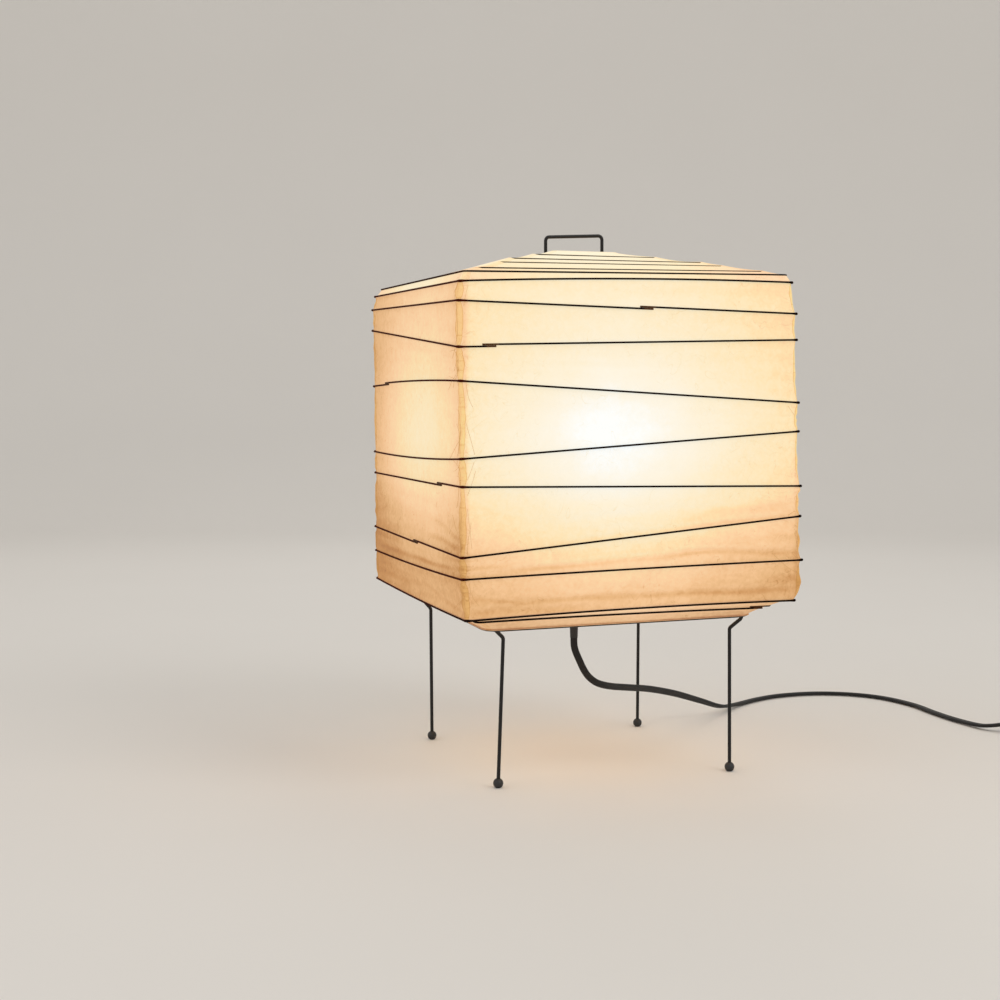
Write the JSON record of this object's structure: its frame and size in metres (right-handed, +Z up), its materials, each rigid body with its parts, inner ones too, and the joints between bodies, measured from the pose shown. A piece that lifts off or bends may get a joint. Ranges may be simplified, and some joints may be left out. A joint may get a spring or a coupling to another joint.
{
  "type": "paper lantern table lamp",
  "caption": "Square paper lantern table lamp: a paper shade on slanting hoops, stretched over a black wire stand with ball feet, with bulb, flex, inline switch and plug.",
  "frame": {"origin": "on the floor, under the middle of the lamp", "axes": "+Z up, -Y to the front, +X to the right, where the flex lies"},
  "size_m": [0.677, 0.3174, 0.4109],
  "materials": {
    "black_wire": "satin black",
    "paper": "handmade paper with fibres",
    "hoop": "dark split bamboo",
    "steel": "plated",
    "brass": "bare",
    "porcelain": "glazed white",
    "black_plastic": "matt black",
    "opal_glass": "opal",
    "flex": "smooth black"
  },
  "bodies": {
    "stand": {"centre_contact": "brass", "coil_tie": "black_plastic", "cord_coil": "flex", "cord_from_lamp": "flex", "foot_back_left": "black_plastic", "foot_back_right": "black_plastic", "foot_front_left": "black_plastic", "foot_front_right": "black_plastic", "holder_body": "black_plastic", "holder_cup": "black_plastic", "holder_insulator": "porcelain", "hub_plate": "black_wire", "leg_back_left": "black_wire", "leg_back_right": "black_wire", "leg_front_left": "black_wire", "leg_front_right": "black_wire", "lower_nut": "steel", "nipple": "steel", "paper_roof": "paper", "paper_wall": "paper", "plug_blade_left": "brass", "plug_blade_right": "brass", "plug_body": "black_plastic", "rocker_pin": "steel", "roof_hoop_1": "hoop", "roof_hoop_2": "hoop", "roof_hoop_3": "hoop", "roof_hoop_4": "hoop", "roof_hoop_5": "hoop", "screw_shell": "brass", "side_hoop_1": "hoop", "strain_relief": "black_plastic", "stretcher_and_handle": "black_wire", "switch_base": "black_plastic", "switch_cover": "black_plastic", "switch_screw_lamp_side": "steel", "switch_screw_plug_side": "steel", "terminal_screw_left": "brass", "terminal_screw_right": "brass", "top_rim": "black_wire", "upper_nut": "steel"},
    "shade_bottom": {"paper_bottom": "paper", "side_hoop_9": "hoop", "under_hoop": "hoop", "bottom_rim": "black_wire"},
    "hoop_2": {"side_hoop_2": "hoop"},
    "hoop_3": {"side_hoop_3": "hoop"},
    "hoop_4": {"side_hoop_4": "hoop"},
    "hoop_5": {"side_hoop_5": "hoop"},
    "hoop_6": {"side_hoop_6": "hoop"},
    "hoop_7": {"side_hoop_7": "hoop"},
    "hoop_8": {"side_hoop_8": "hoop"},
    "bulb": {"bulb_glass": "opal_glass", "bulb_cap": "brass", "bulb_insulator": "black_plastic", "bulb_contact": "brass"},
    "rocker": {"switch_rocker": "black_plastic"}
  },
  "joints": [
    {"name": "shade_lift", "type": "slide", "parent": "stand", "child": "shade_bottom", "axis": [0, 0, 1], "range_m": [0, 0.1], "deforming": ["paper_wall"]},
    {"name": "hoop_2_rise", "type": "slide", "parent": "stand", "child": "hoop_2", "axis": [0, 0, 1], "range_m": [0, 0.0073]},
    {"name": "hoop_3_rise", "type": "slide", "parent": "stand", "child": "hoop_3", "axis": [0, 0, 1], "range_m": [0, 0.0167]},
    {"name": "hoop_4_rise", "type": "slide", "parent": "stand", "child": "hoop_4", "axis": [0, 0, 1], "range_m": [0, 0.0342]},
    {"name": "hoop_5_rise", "type": "slide", "parent": "stand", "child": "hoop_5", "axis": [0, 0, 1], "range_m": [0, 0.0515]},
    {"name": "hoop_6_rise", "type": "slide", "parent": "stand", "child": "hoop_6", "axis": [0, 0, 1], "range_m": [0, 0.0634]},
    {"name": "hoop_7_rise", "type": "slide", "parent": "stand", "child": "hoop_7", "axis": [0, 0, 1], "range_m": [0, 0.0787]},
    {"name": "hoop_8_rise", "type": "slide", "parent": "stand", "child": "hoop_8", "axis": [0, 0, 1], "range_m": [0, 0.0891]},
    {"name": "bulb_removal", "type": "slide", "parent": "stand", "child": "bulb", "axis": [0, 0, 1], "range_m": [0, 0.035]},
    {"name": "switch_rock", "type": "hinge", "parent": "stand", "child": "rocker", "pos_m": [0.428, -0.03, 0.0145], "axis": [0, 1, 0], "range_deg": [0, 16]}
  ],
  "couplings": [
    {"joint": "hoop_2_rise", "follows": "shade_lift", "ratio": 0.0676},
    {"joint": "hoop_3_rise", "follows": "shade_lift", "ratio": 0.1623},
    {"joint": "hoop_4_rise", "follows": "shade_lift", "ratio": 0.3369},
    {"joint": "hoop_5_rise", "follows": "shade_lift", "ratio": 0.5098},
    {"joint": "hoop_6_rise", "follows": "shade_lift", "ratio": 0.6291},
    {"joint": "hoop_7_rise", "follows": "shade_lift", "ratio": 0.7823},
    {"joint": "hoop_8_rise", "follows": "shade_lift", "ratio": 0.8861}
  ]
}
